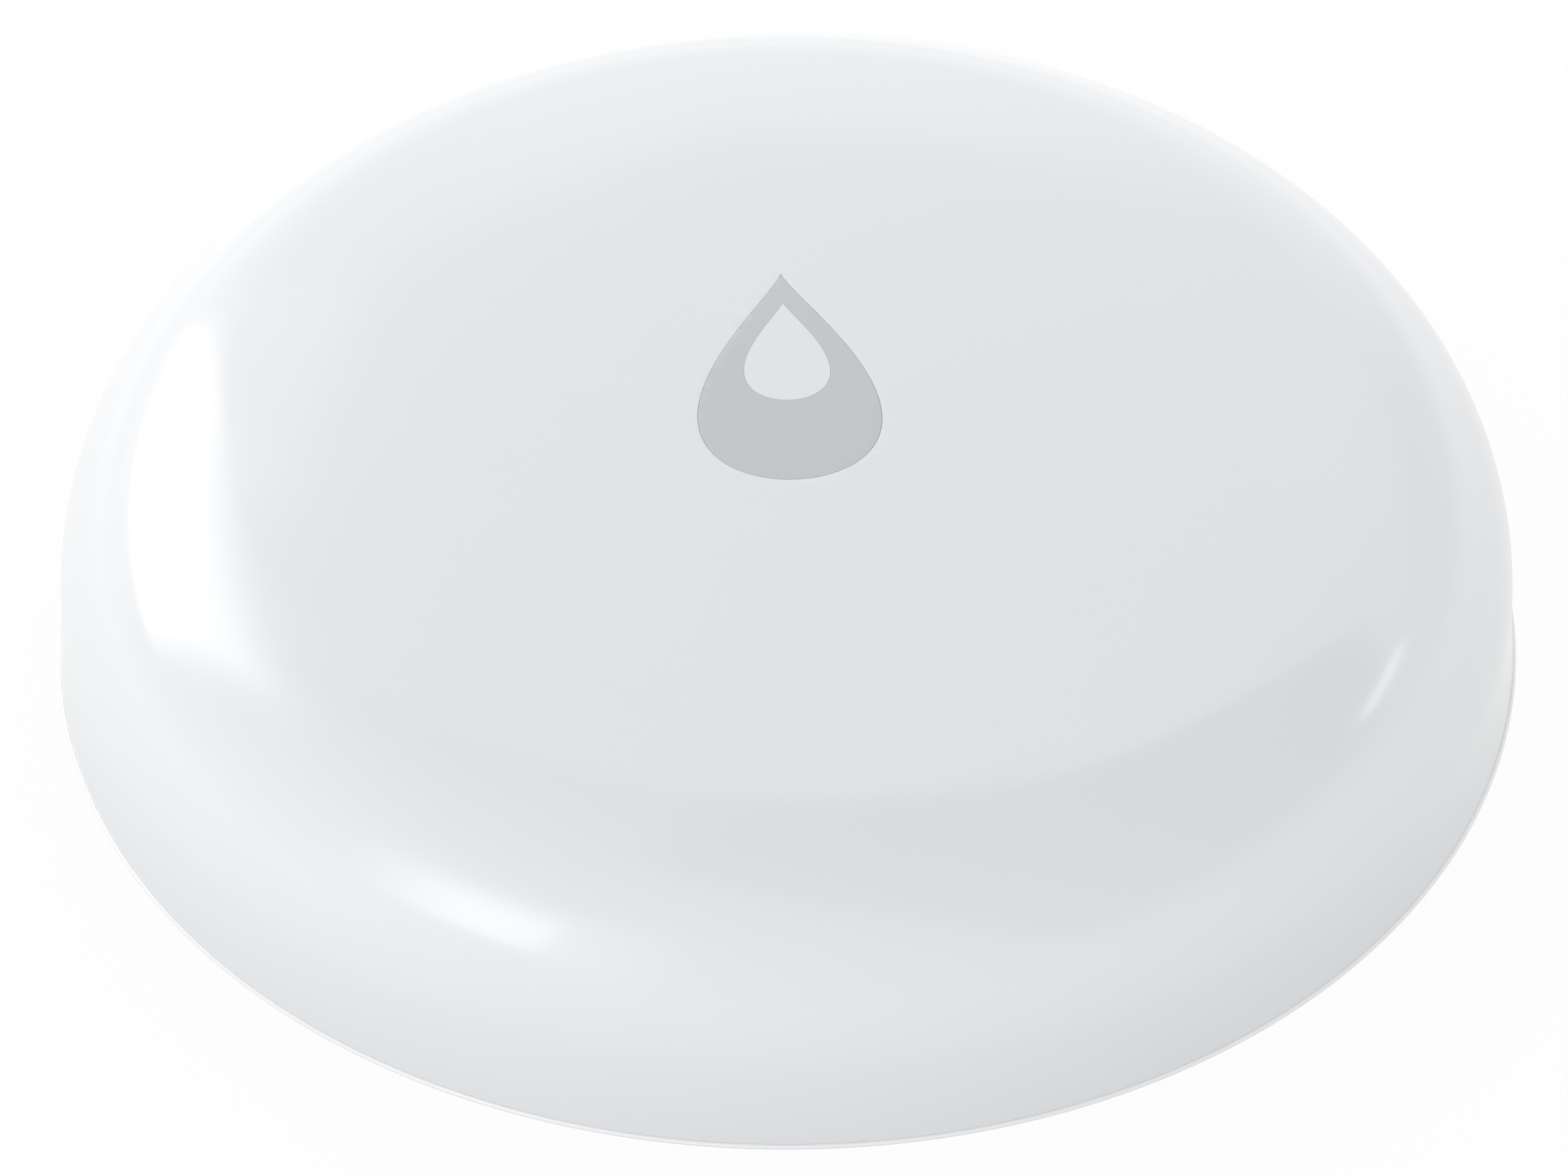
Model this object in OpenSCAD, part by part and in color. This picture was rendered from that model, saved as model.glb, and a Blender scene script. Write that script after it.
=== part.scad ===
// Round water leak sensor: a sealed two-part case around a coin cell and a circuit board.
// A drop-shaped key in the crown presses a switch, and two metal probes under the base sense water.
// Millimetres, +Z up, origin on the floor under the centre, the drop points towards +Y.

/* [Case] */
// Diameter over the lip of the base
body_d = 50; // [48:0.5:60]
// Height from the floor to the top of the crown
body_h = 15; // [14:0.1:20]
// Radius of the shallow crown
crown_r = 93.7; // [70:0.1:140]
// Radius of the shoulder between the crown and the side
shoulder_r = 7.5; // [6:0.1:9]
// Wall of the upper shell
wall = 1.6; // [1.2:0.05:2]
// Height of the lip's underside above the floor
lip_z = 2.65; // [2.4:0.05:3.4]
// Thickness of the lip at its edge
lip_h = 0.2; // [0.15:0.05:0.5]
// How far the lip stands out past the side of the shell
lip_step = 0.25; // [0.1:0.05:0.5]
// Open line between the lip and the lower edge of the shell
seam_gap = 0.05; // [0.02:0.01:0.2]

/* [Base] */
// Height of the feet that keep the underside off the floor
foot_h = 0.8; // [0.6:0.05:1.2]
// Width of each foot, measured outwards
foot_w = 2; // [1.2:0.1:2.6]
// Angle that each of the four feet spans
foot_angle = 50; // [30:1:60]
// Thickness of the base floor
floor_t = 1.6; // [1.2:0.05:2]
// Radius of the curve from the flat underside up to the lip
dish_r = 6; // [5:0.1:9]
// Thickness of the ring that plugs into the shell
spigot_t = 1.8; // [1.6:0.05:2.4]
// Height of that ring above the lip
spigot_h = 3.3; // [2.8:0.1:4]
// Cord diameter of the case seal
case_seal_d = 1.2; // [0.9:0.05:1.3]
// Thickness of the stiffening ribs
rib_t = 1; // [0.6:0.1:1.6]
// Height of the stiffening ribs
rib_h = 1.5; // [1:0.1:2.4]

/* [Battery] */
// Diameter of the coin cell
cell_d = 20; // [16:0.1:20]
// Height of the coin cell
cell_h = 3.2; // [2.5:0.1:3.4]
// Wall of the cradle around the cell
cradle_t = 1.2; // [0.8:0.05:1.6]
// Thickness of the sheet metal in the contacts
contact_t = 0.25; // [0.15:0.05:0.3]
// Width of the contacts
contact_w = 3; // [2:0.1:4]

/* [Battery door] */
// Thickness of the door's disc
door_t = 1.6; // [1.4:0.05:2]
// Height of the door's edge, which holds the seal
door_edge_h = 2.2; // [2:0.05:2.6]
// Wall of the door's threaded skirt
skirt_t = 1; // [0.8:0.05:1.4]
// Depth of the thread from its ridges to the bore
thread_depth = 1.4; // [1:0.05:1.6]
// Height of the thread ridges in the base
thread_h = 1.8; // [1.6:0.05:2.4]
// Rise of the thread in one full turn
thread_lead = 14; // [10:0.5:20]
// Height of each door lug
lug_h = 1.2; // [0.9:0.05:1.4]
// Angle that each door lug spans
lug_angle = 30; // [20:1:40]
// Cord diameter of the door seal
door_seal_d = 1.1; // [0.8:0.05:1.3]
// Wall of the collar that the door screws into
collar_t = 1.6; // [1.2:0.05:1.8]
// Length of the coin slot
coin_slot_l = 14; // [10:0.5:18]
// Width of the coin slot
coin_slot_w = 1.8; // [1.4:0.1:2.4]
// Depth of the coin slot
coin_slot_t = 0.8; // [0.5:0.05:1]

/* [Probes] */
// Height of the probe heads above the floor
probe_gap = 0.3; // [0.2:0.05:0.5]
// Diameter of the probe heads
probe_head_d = 5.4; // [4.6:0.1:5.6]
// Height of the probe heads
probe_head_h = 1.2; // [1:0.05:1.4]
// Diameter of the probe screws
probe_d = 2.5; // [2:0.1:2.5]
// Cord diameter of the seals under the heads
probe_seal_d = 0.7; // [0.5:0.05:0.8]
// Material left above each probe seal
probe_roof = 1.4; // [1:0.05:2]
// Outer diameter of the brass spacers
spacer_d = 3.6; // [3.4:0.1:4.8]
// Outer diameter of the threaded inserts
insert_d = 3.8; // [3.6:0.1:4]
// Length of the threaded inserts
insert_l = 2; // [1.6:0.1:2.2]
// Diameter of the shell's bosses around the inserts
boss_d = 6; // [5.6:0.1:6.4]

/* [Key and switch] */
// Width of the grey drop
drop_w = 6.15; // [5:0.05:7]
// Height of the grey drop
drop_h = 10.45; // [8:0.05:11]
// Place of the drop's middle along Y
drop_y = -0.4; // [-1:0.05:1]
// Width of the white inner drop
inset_w = 2.9; // [2.4:0.05:3.4]
// Height of the white inner drop
inset_h = 5.05; // [4:0.05:5.4]
// Place of the inner drop's middle along Y
inset_y = 0.75; // [0.2:0.05:1]
// Depth of the inner drop
inset_t = 0.9; // [0.5:0.05:1.2]
// Open line around the key
key_gap = 0.04; // [0.03:0.01:0.15]
// Place of the switch along Y
switch_y = -1.4; // [-2:0.1:-1]
// How far the key and the switch stem move
key_travel = 0.3; // [0.2:0.01:0.35]
// Thickness of the flange that keeps the key in
key_flange_t = 0.8; // [0.6:0.05:1.2]
// Width of that flange around the drop
key_flange_w = 0.7; // [0.5:0.05:0.9]
// Diameter of the key's stem
key_stem_d = 3; // [2.4:0.1:3.4]
// Length of the key's stem
key_stem_l = 1.2; // [1.1:0.05:1.6]
// Inside radius of the collar around the key
key_collar_r = 7.3; // [7:0.1:8]
// Wall of that collar
key_collar_t = 1; // [0.8:0.05:1.4]
// Thickness of the key membrane
membrane_t = 0.3; // [0.2:0.05:0.4]
// Side of the square switch
switch_w = 5.2; // [4.5:0.1:6]
// Height of the switch body
switch_h = 1.4; // [1.3:0.05:1.8]
// Thickness of the switch's metal cover
cover_t = 0.15; // [0.15:0.01:0.25]
// Diameter of the switch stem
switch_stem_d = 2; // [1.6:0.1:2.4]
// Height of the switch stem above the cover
switch_stem_l = 0.5; // [0.4:0.05:0.7]

/* [Board] */
// Thickness of the circuit board
board_t = 1; // [0.8:0.05:1.2]
// Space between the board's edge and the shell's side
board_margin = 2.2; // [2:0.05:3.5]
// Diameter of the pins that place the board
pin_d = 1.6; // [1.2:0.1:2]
// Diameter of the posts under the board
post_d = 3.6; // [3:0.1:4]
// Side of the radio chip
chip_w = 5; // [4:0.1:6]
// Height of the radio chip
chip_h = 0.9; // [0.7:0.05:1.2]
// Thickness of the antenna's copper
antenna_t = 0.15; // [0.15:0.01:0.2]
// Width of the antenna's track
antenna_w = 0.6; // [0.4:0.05:0.8]

/* [Hidden] */
$fn = 96;
// Clearances: a close fit, a sliding fit, a loose space between moving pieces, and a cut's overshoot
fit_gap = 0.02;
slide_gap = 0.1;
free_gap = 0.3;
over = 1;

// Crown, shoulder and side of the case
side_r = body_d / 2 - lip_step;
crown_cz = body_h - crown_r;
shoulder_cr = side_r - shoulder_r;
// The shoulder stands a hair above tangent to the crown, so that their arcs cross at one clean point
shoulder_lap = 0.002;
shoulder_cz = crown_cz + sqrt(pow(crown_r - shoulder_r, 2) - pow(shoulder_cr, 2)) + shoulder_lap;
shoulder_turn = atan2(shoulder_cr, shoulder_cz - crown_cz);
lap_turn = 5;
crown_steps = 720;
lip_top = lip_z + lip_h;
shell_edge_z = lip_top + seam_gap;
inner_r = side_r - wall;

// Base levels and radii
under_z = foot_h;
floor_z = under_z + floor_t;
dish_end_r = body_d / 2 - lip_h / 2 - slide_gap;
dish_cr = dish_end_r - sqrt(pow(dish_r, 2) - pow(under_z + dish_r - lip_z, 2));
spigot_r = inner_r - 2 * slide_gap;
spigot_in_r = spigot_r - spigot_t;
spigot_top = lip_top + spigot_h;
case_seal_r = inner_r - fit_gap - case_seal_d / 2;
case_seal_z = lip_top + spigot_h / 2;
case_groove_r = case_seal_r - case_seal_d / 2 - fit_gap;
case_groove_h = case_seal_d + 2 * slide_gap;
foot_r = dish_cr - foot_w / 2 - free_gap;

// Battery door, from the cell outwards
cell_r = cell_d / 2;
skirt_in_r = cell_r + free_gap;
skirt_r = skirt_in_r + skirt_t;
ridge_r = skirt_r + free_gap;
bore_r = ridge_r + thread_depth;
door_r = bore_r - free_gap;
collar_r = bore_r + collar_t;
door_edge_top = under_z + door_edge_h;
ridge_z = door_edge_top + 1.5 * slide_gap;
ridge_top = ridge_z + thread_h;
lug_z = ridge_z + (thread_h - lug_h) / 2;
skirt_top = ridge_top - slide_gap;
turn_per_mm = 360 / thread_lead;
thread_tilt = atan2(thread_lead, PI * (ridge_r + bore_r));
lug_count = 3;
groove_angle = lug_angle + 2 * free_gap * turn_per_mm;
ridge_angle = 360 / lug_count - groove_angle;
door_seal_r = bore_r - fit_gap - door_seal_d / 2;
door_groove_r = door_seal_r - door_seal_d / 2 - fit_gap;
door_groove_h = door_seal_d + 2 * slide_gap;
door_seal_z = under_z + door_edge_h / 2;
cell_z = under_z + door_t + slide_gap;
cell_top = cell_z + cell_h;

// Key, switch and board, hung from the crown downwards
key_flange_top = body_h - wall - slide_gap;
key_flange_z = key_flange_top - key_flange_t;
key_stem_z = key_flange_z - key_stem_l;
key_flange_r = key_collar_r - free_gap;
key_collar_z = key_flange_z - key_travel - 2 * slide_gap;
membrane_bead_h = 0.5;
membrane_grip_w = 0.7;
membrane_fold_r = 1;
membrane_z = key_collar_z - membrane_bead_h;
ring_t = 0.8;
ring_floor_t = 0.6;
switch_stem_top = key_stem_z - fit_gap;
cover_top = switch_stem_top - switch_stem_l;
board_top = cover_top - cover_t - switch_h;
board_z = board_top - board_t;
board_r = inner_r - board_margin;
post_turn = 60;

// Probes and posts stand in the middle of the room between the battery collar and the spigot
fixing_room = spigot_in_r - collar_r;
fixing_r = collar_r + fixing_room / 2;

// Probe levels
probe_seat_z = probe_gap + probe_head_h;
probe_groove_h = probe_seal_d;
probe_boss_top = probe_seat_z + probe_groove_h + probe_roof;
base_boss_d = fixing_room + 2 * free_gap;
probe_hole_d = probe_d + 2 * slide_gap;
probe_seal_r = probe_hole_d / 2 + probe_seal_d / 2 + fit_gap;
probe_top = board_top + insert_l;

// Shape of the drop: x = k w sin(t) sin(t/2)^p, y = h/2 cos(t), which is pointed, and slimmer with a higher power p
drop_power = 1.42;
drop_k = sqrt(drop_power + 2) / 4 * pow((drop_power + 2) / (drop_power + 1), (drop_power + 1) / 2);
drop_steps = 72;

function drop_point(t, w, h) = [drop_k * w * sin(t) * pow(sin(t / 2), drop_power), h / 2 * cos(t)];
function drop_slope(t, w, h) =
    let (s = sin(t / 2), c = cos(t / 2))
    [drop_k * w * (cos(t) * pow(s, drop_power) + drop_power / 2 * sin(t) * c * pow(s, drop_power - 1)),
     -h / 2 * sin(t)];
function drop_normal(t, w, h) = let (s = drop_slope(t, w, h)) [-s.y, s.x] / norm(s);
function drop_tip(w, h, grow) = [0, h / 2 + grow / sin(atan(2 * drop_k * w / h))];
function drop_outline(w, h, grow = 0) = concat(
    [drop_tip(w, h, grow)],
    [for (i = [1:drop_steps - 1])
        let (t = 360 * i / drop_steps) drop_point(t, w, h) + grow * drop_normal(t, w, h)]
);

module ring(r_in, r_out, h) {
    difference() {
        cylinder(r = r_out, h = h);
        translate([0, 0, -over]) cylinder(r = r_in, h = h + 2 * over);
    }
}

module torus(r, cord_d) {
    rotate_extrude() translate([r, 0]) circle(d = cord_d);
}

module on_both_probes() {
    for (side = [-1, 1]) translate([side * fixing_r, 0, 0]) children();
}

module on_both_posts() {
    for (turn = [post_turn, post_turn + 180]) rotate(turn) translate([fixing_r, 0, 0]) children();
}

module at_switch(z) {
    translate([0, switch_y, z]) children();
}

// Half section of the upper case, moved inwards by inset and cut off below z_from
module case_half(inset, z_from) {
    reach = 1.2 * crown_r;
    intersection() {
        translate([0, z_from]) square([side_r, body_h - z_from]);
        union() {
            intersection() {
                translate([0, crown_cz]) circle(crown_r - inset, $fn = crown_steps);
                translate([0, crown_cz])
                    polygon([[0, 0], reach * [sin(shoulder_turn), cos(shoulder_turn)], [0, reach]]);
            }
            intersection() {
                translate([shoulder_cr, shoulder_cz]) circle(shoulder_r - inset);
                translate([shoulder_cr, shoulder_cz]) polygon([
                    [0, 0],
                    [2 * shoulder_r, 0],
                    [2 * shoulder_r, 2 * shoulder_r],
                    2 * shoulder_r * [sin(shoulder_turn - lap_turn), cos(shoulder_turn - lap_turn)]
                ]);
            }
            translate([0, z_from]) square([side_r - inset, shoulder_cz - z_from]);
        }
    }
}

// Solid under the crown, moved inwards by inset, down to the underside of the switch
module under_crown(inset) {
    rotate_extrude() intersection() {
        translate([0, crown_cz]) circle(crown_r - inset, $fn = crown_steps);
        translate([0, board_z]) square([shoulder_cr, body_h]);
    }
}

// Case

module upper_shell() {
    color("white") difference() {
        union() {
            rotate_extrude() difference() {
                case_half(0, shell_edge_z);
                case_half(wall, shell_edge_z - over);
                translate([0, shell_edge_z - over])
                    square([inner_r, spigot_top + free_gap - shell_edge_z + over]);
            }
            // Bosses for the inserts, and the collar around the key, run up into the wall
            intersection() {
                rotate_extrude() case_half(wall / 2, board_top);
                union() {
                    on_both_probes() translate([0, 0, board_top]) cylinder(d = boss_d, h = body_h);
                    at_switch(key_collar_z) ring(key_collar_r, key_collar_r + key_collar_t, body_h);
                }
            }
        }
        translate([0, drop_y, key_flange_z])
            linear_extrude(body_h) polygon(drop_outline(drop_w, drop_h, key_gap));
        on_both_probes() {
            translate([0, 0, board_top - over]) cylinder(d = insert_d + 2 * fit_gap, h = insert_l + over);
            translate([0, 0, board_top]) cylinder(d = probe_hole_d, h = insert_l + free_gap);
        }
    }
}

module base_half() {
    difference() {
        union() {
            translate([0, under_z]) square([dish_cr, floor_t]);
            intersection() {
                translate([dish_cr, under_z + dish_r]) circle(dish_r);
                translate([dish_cr, under_z]) square([dish_end_r - dish_cr, lip_z - under_z]);
            }
            translate([spigot_in_r, lip_z]) square([body_d / 2 - lip_h / 2 - spigot_in_r, lip_h]);
            translate([body_d / 2 - lip_h / 2, lip_z + lip_h / 2]) circle(d = lip_h);
            translate([spigot_in_r, lip_z]) square([spigot_t, spigot_top - lip_z]);
            translate([bore_r, under_z]) square([collar_t, ridge_top - under_z]);
        }
        translate([0, under_z - over]) square([bore_r, floor_t + 2 * over]);
        translate([case_groove_r, case_seal_z - case_groove_h / 2]) square([spigot_t, case_groove_h]);
    }
}

// A stretch of thread: part of a ring between two flanks, flat faces that lean along the thread's rise
module thread_bar(r_in, r_out, angle, h) {
    half = body_d / 2;
    intersection() {
        ring(r_in, r_out, h);
        translate([0, -half, 0]) cube([half, body_d, h]);
        rotate(-angle / 2) translate([0, 0, h / 2]) rotate([thread_tilt, 0, 0])
            translate([-half, -half, -half]) cube([body_d, body_d, half]);
        rotate(angle / 2) translate([0, 0, h / 2]) rotate([thread_tilt, 0, 0])
            translate([-half, -half, 0]) cube([body_d, body_d, half]);
    }
}

module base_housing() {
    color("gainsboro") difference() {
        union() {
            rotate_extrude() base_half();
            for (i = [0:3]) rotate(45 + 90 * i) rotate(-foot_angle / 2)
                rotate_extrude(angle = foot_angle)
                    translate([foot_r - foot_w / 2, 0]) square([foot_w, under_z + floor_t / 2]);
            for (i = [0:lug_count - 1]) rotate(360 / lug_count * (i + 0.5))
                translate([0, 0, ridge_z])
                    thread_bar(ridge_r, bore_r + collar_t / 4, ridge_angle, thread_h);
            on_both_probes()
                translate([0, 0, under_z]) cylinder(d = base_boss_d, h = probe_boss_top - under_z);
            on_both_posts() {
                translate([0, 0, floor_z - floor_t / 2])
                    cylinder(d = post_d, h = board_z - floor_z + floor_t / 2);
                translate([0, 0, board_z - over]) cylinder(d = pin_d, h = board_t + over - 2 * slide_gap);
            }
            for (turn = [30:30:330]) if (turn % 180 != post_turn && turn != 180)
                rotate(turn) translate([collar_r - collar_t / 2, -rib_t / 2, floor_z - floor_t / 2])
                    cube([spigot_in_r + spigot_t / 4 - collar_r + collar_t / 2, rib_t, rib_h + floor_t / 2]);
        }
        on_both_probes() {
            cylinder(d = probe_head_d + 2 * free_gap, h = probe_seat_z);
            cylinder(d = probe_hole_d, h = body_h);
            cylinder(r = probe_seal_r + probe_seal_d / 2 + fit_gap, h = probe_seat_z + probe_groove_h);
        }
    }
}

module case_seal() {
    color("dimgray") translate([0, 0, case_seal_z]) torus(case_seal_r, case_seal_d);
}

// Key

module drop_key() {
    color("silver") difference() {
        union() {
            intersection() {
                translate([0, drop_y, key_flange_z])
                    linear_extrude(body_h) polygon(drop_outline(drop_w, drop_h));
                under_crown(0);
            }
            intersection() {
                translate([0, drop_y, key_flange_z])
                    linear_extrude(body_h) polygon(drop_outline(drop_w, drop_h, key_flange_w));
                at_switch(key_flange_z) cylinder(r = key_flange_r, h = body_h);
                under_crown(wall + slide_gap);
            }
            at_switch(key_stem_z) cylinder(d = key_stem_d, h = key_stem_l + key_flange_t / 2);
        }
        translate([0, inset_y, body_h - inset_t])
            linear_extrude(body_h) polygon(drop_outline(inset_w, inset_h, fit_gap));
    }
}

module drop_inset() {
    color("white") intersection() {
        translate([0, inset_y, body_h - inset_t])
            linear_extrude(body_h) polygon(drop_outline(inset_w, inset_h));
        under_crown(0);
    }
}

// A rolled bead at the rim, a half-round fold, and a bead that grips the key's stem
module key_membrane() {
    grip_r = key_stem_d / 2 + fit_gap;
    fold_cr = (grip_r + membrane_grip_w + key_collar_r) / 2;
    web_z = key_collar_z - membrane_t;
    color("lightgray") at_switch(0) rotate_extrude() {
        translate([key_collar_r, membrane_z]) square([key_collar_t, membrane_bead_h]);
        translate([grip_r, membrane_z]) square([membrane_grip_w, membrane_bead_h]);
        difference() {
            union() {
                translate([grip_r + membrane_grip_w / 2, web_z])
                    square([key_collar_r + key_collar_t / 2 - grip_r - membrane_grip_w / 2, membrane_t]);
                intersection() {
                    translate([fold_cr, web_z]) circle(membrane_fold_r);
                    translate([fold_cr - membrane_fold_r, web_z - membrane_fold_r])
                        square([2 * membrane_fold_r, membrane_fold_r + membrane_t / 2]);
                }
            }
            translate([fold_cr, web_z]) circle(membrane_fold_r - membrane_t);
        }
    }
}

module membrane_ring() {
    clip_r = key_collar_r + key_collar_t + fit_gap;
    clip_h = ring_floor_t + membrane_bead_h + ring_t;
    color("white") at_switch(membrane_z - ring_floor_t) {
        ring(key_collar_r, clip_r + ring_t, ring_floor_t);
        ring(clip_r, clip_r + ring_t, clip_h);
    }
}

// Switch under the key: its stem has a foot that the cover keeps in

switch_foot_d = switch_stem_d + 0.7;
switch_foot_top = board_top + switch_h - slide_gap / 2;
switch_foot_h = 0.5;
switch_floor_z = switch_foot_top - switch_foot_h - key_travel - slide_gap;

module switch_body() {
    color("black") at_switch(board_top) difference() {
        translate([-switch_w / 2, -switch_w / 2, 0]) cube([switch_w, switch_w, switch_h]);
        translate([0, 0, switch_floor_z - board_top])
            cylinder(d = switch_foot_d + 2 * slide_gap, h = switch_h);
    }
}

module switch_cover() {
    color("silver") at_switch(board_top + switch_h) difference() {
        translate([-switch_w / 2, -switch_w / 2, 0]) cube([switch_w, switch_w, cover_t]);
        translate([0, 0, -over]) cylinder(d = switch_stem_d + 2 * slide_gap, h = cover_t + 2 * over);
    }
}

module switch_stem() {
    color("ivory") {
        at_switch(switch_foot_top - switch_foot_h) cylinder(d = switch_foot_d, h = switch_foot_h);
        at_switch(switch_foot_top - switch_foot_h)
            cylinder(d = switch_stem_d, h = switch_stem_top - switch_foot_top + switch_foot_h);
    }
}

module switch_terminals() {
    leg_l = 0.8;
    leg_w = 0.7;
    leg_h = 0.2;
    color("silver") for (sx = [-1, 1], sy = [-1, 1])
        at_switch(board_top) translate([sx * (switch_w + leg_l) / 2, sy * switch_w / 3, leg_h / 2])
            cube([leg_l, leg_w, leg_h], center = true);
}

// Board and what it carries

chip_place = [-9.5, 5];
crystal_size = [3.2, 1.5, 0.8];
light_size = [1.6, 0.8, 0.6];
passive_place = [8, -4.5];
passive_size = [1.6, 0.8, 0.6];
passive_pitch = 1.8;
passive_rows = 6;
antenna_leg = 3.4;
antenna_pitch = 1.6;
antenna_legs = 8;
antenna_place = [-8, board_r - antenna_leg - 2.6];

module on_board(place) {
    translate([place.x, place.y, board_top]) children();
}

module block(size) {
    translate([-size.x / 2, -size.y / 2, 0]) cube(size);
}

module circuit_board() {
    color("seagreen") difference() {
        translate([0, 0, board_z]) cylinder(r = board_r, h = board_t);
        on_both_probes() translate([0, 0, board_z - over]) cylinder(d = probe_hole_d, h = board_t + 2 * over);
        on_both_posts() translate([0, 0, board_z - over])
            cylinder(d = pin_d + 2 * slide_gap, h = board_t + 2 * over);
    }
}

module radio_chip() {
    color("black") on_board(chip_place) block([chip_w, chip_w, chip_h]);
}

module crystal() {
    color("silver") on_board([chip_place.x, chip_place.y - chip_w / 2 - crystal_size.y]) block(crystal_size);
}

module indicator_light() {
    color("ivory") on_board([0, switch_y + switch_w / 2 + 2 * light_size.y]) block(light_size);
}

module passive_parts() {
    color("tan") for (row = [0:passive_rows - 1], column = [0, 1])
        on_board(passive_place + [column * 2 * passive_size.x, row * passive_pitch]) block(passive_size);
}

// A folded track: upright legs joined by short bars, at the top and the bottom in turn
module antenna() {
    color("goldenrod") on_board(antenna_place) for (i = [0:antenna_legs - 1]) {
        translate([i * antenna_pitch, 0, 0]) cube([antenna_w, antenna_leg, antenna_t]);
        if (i < antenna_legs - 1)
            translate([i * antenna_pitch, i % 2 == 0 ? antenna_leg - antenna_w : 0, 0])
                cube([antenna_pitch + antenna_w, antenna_w, antenna_t]);
    }
}

// Coin cell: the can is the positive side, and the cap that faces the board is the negative side

can_t = 0.25;
cap_h = 0.35;
gasket_w = 0.85;
cap_r = cell_r - can_t - gasket_w;
cell_floor_z = cell_z + can_t;

module cell_can() {
    color("silver") rotate_extrude() translate([0, cell_z]) difference() {
        square([cell_r, cell_h - cap_h]);
        translate([0, can_t]) square([cell_r - can_t, cell_h]);
    }
}

module cell_gasket() {
    color("dimgray") rotate_extrude() translate([cap_r - can_t, cell_floor_z]) {
        square([can_t + gasket_w, can_t]);
        translate([can_t, 0]) square([gasket_w, cell_h - cap_h - can_t]);
    }
}

module cell_cap() {
    color("lightgray") rotate_extrude() {
        translate([0, cell_top - can_t]) square([cap_r, can_t]);
        translate([cap_r - can_t, cell_floor_z + can_t]) square([can_t, cell_h - 2 * can_t]);
    }
}

module cell_core() {
    color("darkslategray") translate([0, 0, cell_floor_z])
        cylinder(r = cap_r - can_t, h = cell_h - 2 * can_t);
}

// Cradle and contacts under the board

cradle_in_r = cell_r + 2 * free_gap;
cradle_z = ridge_top + free_gap;

module battery_cradle() {
    color("white") difference() {
        translate([0, 0, cradle_z]) ring(cradle_in_r, cradle_in_r + cradle_t, board_z - cradle_z);
        translate([-contact_w / 2 - slide_gap, -2 * cell_d, board_z - contact_t - slide_gap])
            cube([contact_w + 2 * slide_gap, 4 * cell_d, contact_t + over]);
    }
}

// Each positive contact is an angle: a foot on the board and a finger beside the can
module positive_contacts() {
    finger_r = cell_r + fit_gap;
    finger_z = cell_top - cap_h - 0.5;
    foot_l = cradle_t + 1.2;
    color("goldenrod") for (turn = [90, 270]) rotate(turn) translate([finger_r, -contact_w / 2, 0]) {
        translate([0, 0, finger_z]) cube([contact_t, contact_w, board_z - finger_z]);
        translate([0, 0, board_z - contact_t]) cube([foot_l, contact_w, contact_t]);
    }
}

// A sprung leaf from the board down to the cap, folded up a little at its free end
module negative_contact() {
    foot_x = cell_r - 1.2;
    bend_x = foot_x - 2.4;
    touch_x = 0.8;
    tail_x = -2.2;
    tail_rise = 0.5;
    touch_z = cell_top + fit_gap;
    color("goldenrod") translate([0, contact_w / 2, 0]) rotate([90, 0, 0]) linear_extrude(contact_w) polygon([
        [foot_x, board_z],
        [bend_x, board_z],
        [touch_x, touch_z + contact_t],
        [-touch_x, touch_z + contact_t],
        [tail_x, touch_z + contact_t + tail_rise],
        [tail_x, touch_z + tail_rise],
        [-touch_x, touch_z],
        [touch_x, touch_z],
        [bend_x, board_z - contact_t],
        [foot_x, board_z - contact_t]
    ]);
}

// Battery door, closed at rest

module battery_door() {
    color("gainsboro") difference() {
        union() {
            rotate_extrude() difference() {
                union() {
                    translate([0, under_z]) square([door_r, door_t]);
                    translate([skirt_in_r, under_z]) square([door_r - skirt_in_r, door_edge_h]);
                    translate([skirt_in_r, under_z]) square([skirt_t, skirt_top - under_z]);
                }
                translate([door_groove_r, door_seal_z - door_groove_h / 2]) square([door_r, door_groove_h]);
            }
            for (i = [0:lug_count - 1]) rotate(360 / lug_count * i) translate([0, 0, lug_z])
                thread_bar(skirt_r - skirt_t / 4, door_r, lug_angle, lug_h);
        }
        translate([0, 0, under_z - over]) linear_extrude(coin_slot_t + over) {
            straight_l = coin_slot_l - coin_slot_w;
            translate([-straight_l / 2, -coin_slot_w / 2]) square([straight_l, coin_slot_w]);
            for (side = [-1, 1]) translate([side * straight_l / 2, 0]) circle(d = coin_slot_w);
        }
    }
}

module door_seal() {
    color("dimgray") translate([0, 0, door_seal_z]) torus(door_seal_r, door_seal_d);
}

// Water probes

module probe_screws() {
    recess_l = 2.6;
    recess_w = 0.6;
    recess_t = 0.6;
    edge = 0.3;
    color("silver") on_both_probes() difference() {
        union() {
            translate([0, 0, probe_gap]) cylinder(d1 = probe_head_d - 2 * edge, d2 = probe_head_d, h = edge);
            translate([0, 0, probe_gap + edge]) cylinder(d = probe_head_d, h = probe_head_h - edge);
            translate([0, 0, probe_gap + edge]) cylinder(d = probe_d, h = probe_top - probe_gap - edge);
        }
        for (turn = [0, 90]) rotate(turn) translate([-recess_l / 2, -recess_w / 2, probe_gap - over])
            cube([recess_l, recess_w, recess_t + over]);
    }
}

module probe_seals() {
    color("dimgray") on_both_probes()
        translate([0, 0, probe_seat_z + probe_groove_h / 2]) torus(probe_seal_r, probe_seal_d);
}

module probe_spacers() {
    color("goldenrod") on_both_probes() translate([0, 0, probe_boss_top])
        difference() {
            cylinder(d = spacer_d, h = board_z - probe_boss_top);
            translate([0, 0, -over]) cylinder(d = probe_hole_d, h = body_h);
        }
}

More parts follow.
